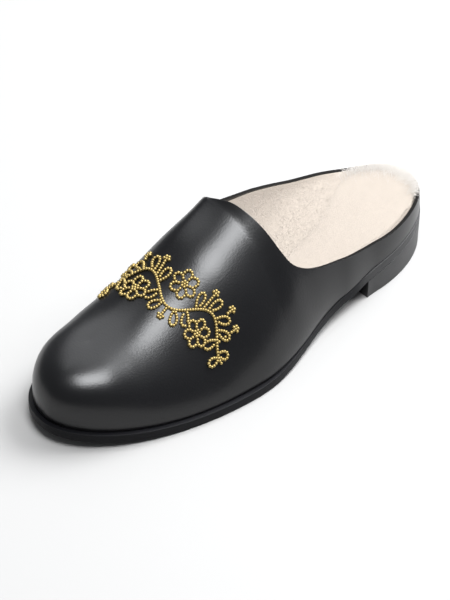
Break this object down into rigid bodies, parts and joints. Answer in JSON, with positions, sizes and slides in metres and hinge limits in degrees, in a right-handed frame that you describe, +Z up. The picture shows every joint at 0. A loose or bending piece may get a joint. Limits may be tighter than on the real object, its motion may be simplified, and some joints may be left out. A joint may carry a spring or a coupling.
{
  "type": "mule",
  "caption": "Black leather mule with a closed vamp, a low wall round the heel, a cream fleece footbed, a thin outsole and a low block heel.",
  "frame": {"origin": "on the floor, under the middle of the shoe's bounding box", "axes": "+X from the heel to the toe, +Y to the outer (little-toe) side, +Z up"},
  "size_m": [0.26, 0.093, 0.0785],
  "materials": {
    "leather": "smooth satin calf",
    "sole": "satin black edge",
    "heel": "satin black",
    "fleece": "short cream fleece pile"
  },
  "bodies": {
    "root": {"upper": "leather", "outsole": "sole", "heel": "heel", "insole": "fleece"}
  },
  "joints": []
}
